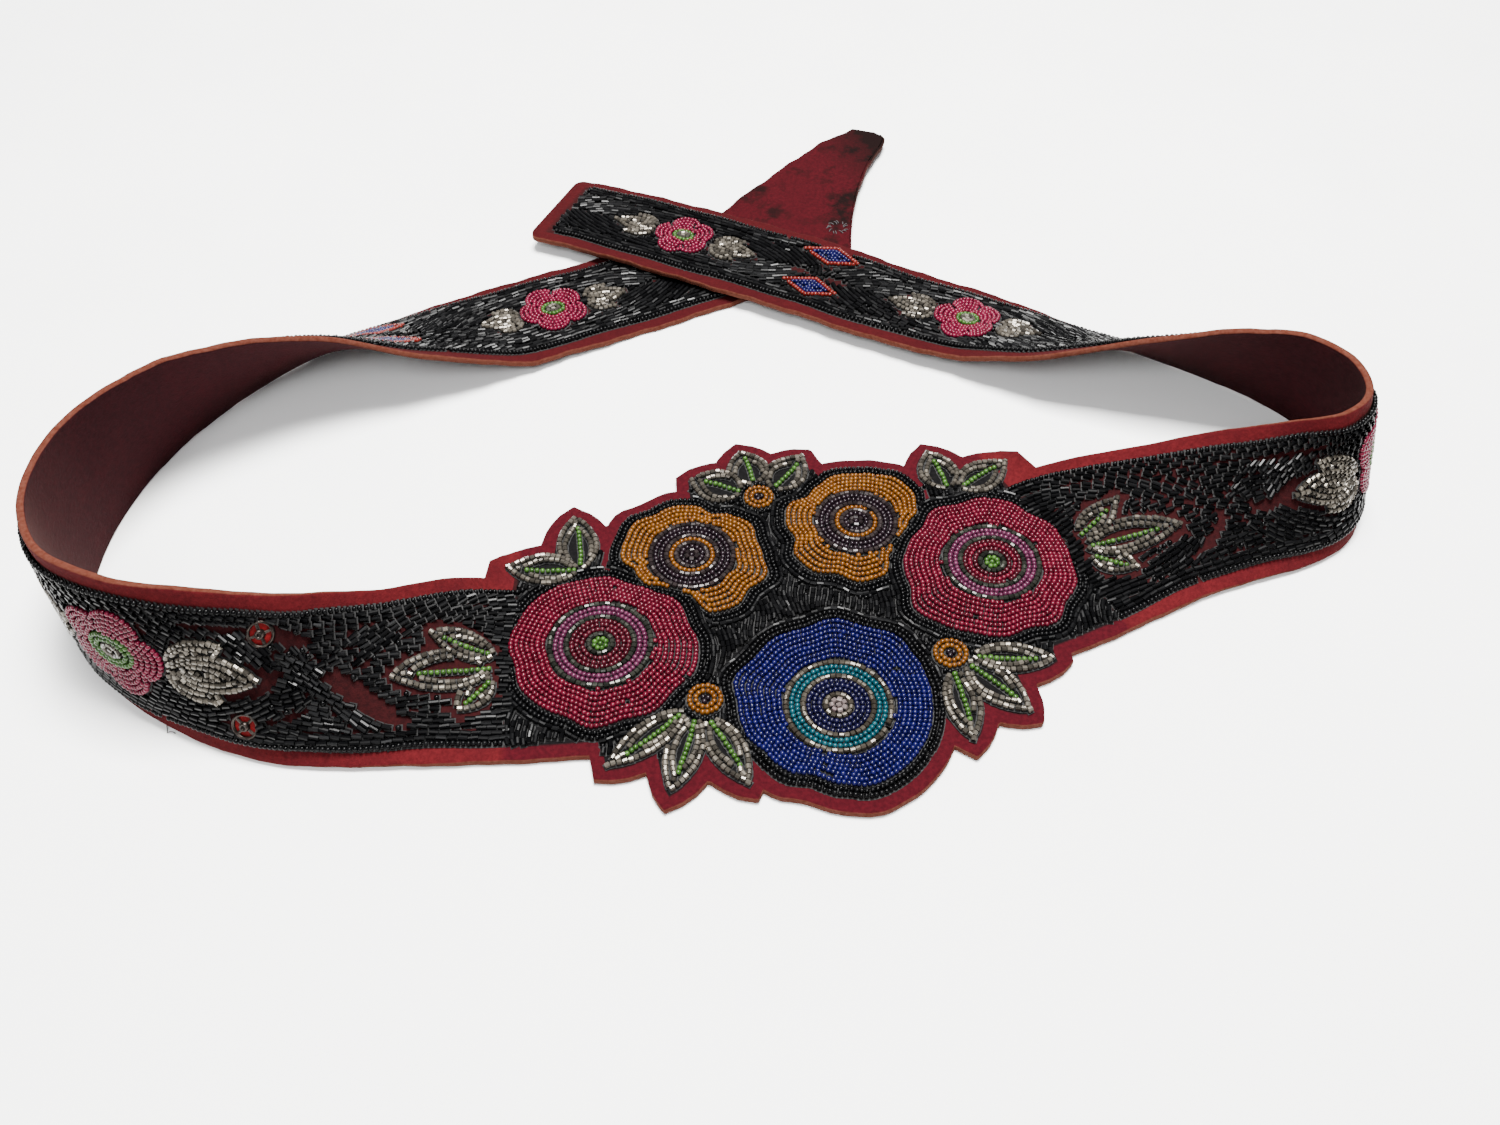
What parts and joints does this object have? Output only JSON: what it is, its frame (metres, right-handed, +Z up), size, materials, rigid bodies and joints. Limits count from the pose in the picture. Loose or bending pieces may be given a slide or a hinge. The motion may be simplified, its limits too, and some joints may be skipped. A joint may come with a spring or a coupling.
{
  "type": "beaded belt",
  "caption": "Red suede belt with black beadwork: a wide flower panel at the front and straps with small flowers, lying in an open loop with one end over the other.",
  "frame": {"origin": "middle of the bounding box in plan, on the surface the belt lies on", "axes": "+X from the left turn of the loop to the right turn, +Y from the front panel to the two ends, +Z up"},
  "size_m": [0.3684, 0.2978, 0.047],
  "materials": {
    "suede": "soft red suede, tan at its cut edges",
    "black_bead": "opaque glossy black glass",
    "blue_bead": "opaque glossy cobalt glass",
    "magenta_bead": "opaque glossy magenta glass",
    "orange_bead": "opaque glossy orange glass",
    "silver_bead": "silver-lined grey glass",
    "pink_bead": "opaque glossy pink glass",
    "snap_metal": "blackened, worn"
  },
  "bodies": {
    "root": {"leather_belt": "suede", "band_left_lower": "black_bead", "band_left_upper": "black_bead", "band_right_lower": "black_bead", "band_right_upper": "black_bead", "field_panel": "black_bead", "flower_blue": "blue_bead", "flower_magenta_left": "magenta_bead", "flower_magenta_right": "magenta_bead", "flower_orange_left": "orange_bead", "flower_orange_right": "orange_bead", "bud_left": "orange_bead", "bud_right": "orange_bead", "bud_top": "orange_bead", "spray_lens_left": "silver_bead", "spray_lens_right": "silver_bead", "spray_low_left": "silver_bead", "spray_low_right": "silver_bead", "spray_top": "silver_bead", "spray_top_left": "silver_bead", "spray_top_right": "silver_bead", "diamond_left_lower": "blue_bead", "diamond_left_upper": "blue_bead", "diamond_right_lower": "blue_bead", "diamond_right_upper": "blue_bead", "snap_upper": "snap_metal", "snap_lower": "snap_metal", "snap_tongue": "snap_metal", "strap_flower_back_left": "pink_bead", "strap_leaf_back_left_before": "silver_bead", "strap_leaf_back_left_after": "silver_bead", "strap_flower_back_right": "pink_bead", "strap_leaf_back_right_before": "silver_bead", "strap_leaf_back_right_after": "silver_bead", "strap_flower_end_right": "pink_bead", "strap_leaf_end_right_before": "silver_bead", "strap_leaf_end_right_after": "silver_bead", "strap_flower_hidden_left": "pink_bead", "strap_leaf_hidden_left_before": "silver_bead", "strap_leaf_hidden_left_after": "silver_bead", "strap_flower_left_turn": "pink_bead", "strap_leaf_left_turn_before": "silver_bead", "strap_leaf_left_turn_after": "silver_bead", "strap_flower_right_turn": "pink_bead", "strap_leaf_right_turn_before": "silver_bead", "strap_leaf_right_turn_after": "silver_bead"}
  },
  "joints": []
}
